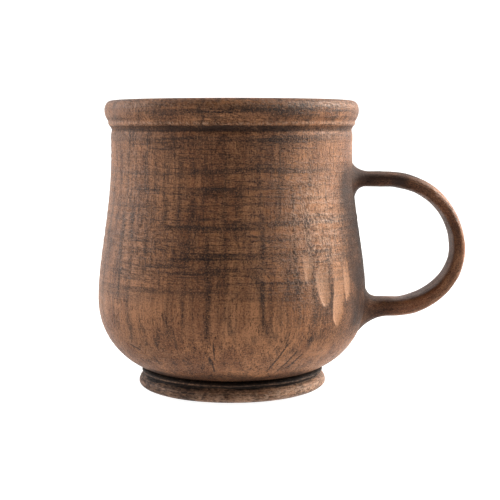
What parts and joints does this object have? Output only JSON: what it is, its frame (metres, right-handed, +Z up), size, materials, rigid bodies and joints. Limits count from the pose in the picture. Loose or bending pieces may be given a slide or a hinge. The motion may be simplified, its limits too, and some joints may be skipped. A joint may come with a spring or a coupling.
{
  "type": "wooden mug",
  "caption": "Turned wooden mug with a swelling belly, a beaded rim, a turned foot and a round carved loop handle.",
  "frame": {"origin": "centre of the foot's resting ring, on the mug's axis, at table level", "axes": "+Z up the mug's axis to the rim, +X towards the handle"},
  "size_m": [0.1257, 0.0918, 0.098],
  "materials": {
    "body_wood": "satin, stained and waxed",
    "foot_wood": "satin, stained and waxed",
    "handle_wood": "satin, stained and waxed",
    "dowel_wood": "bare beech"
  },
  "bodies": {
    "root": {"cup_body": "body_wood", "foot": "foot_wood", "handle": "handle_wood", "upper_dowel_front": "dowel_wood", "upper_dowel_back": "dowel_wood", "lower_dowel_front": "dowel_wood", "lower_dowel_back": "dowel_wood"}
  },
  "joints": []
}
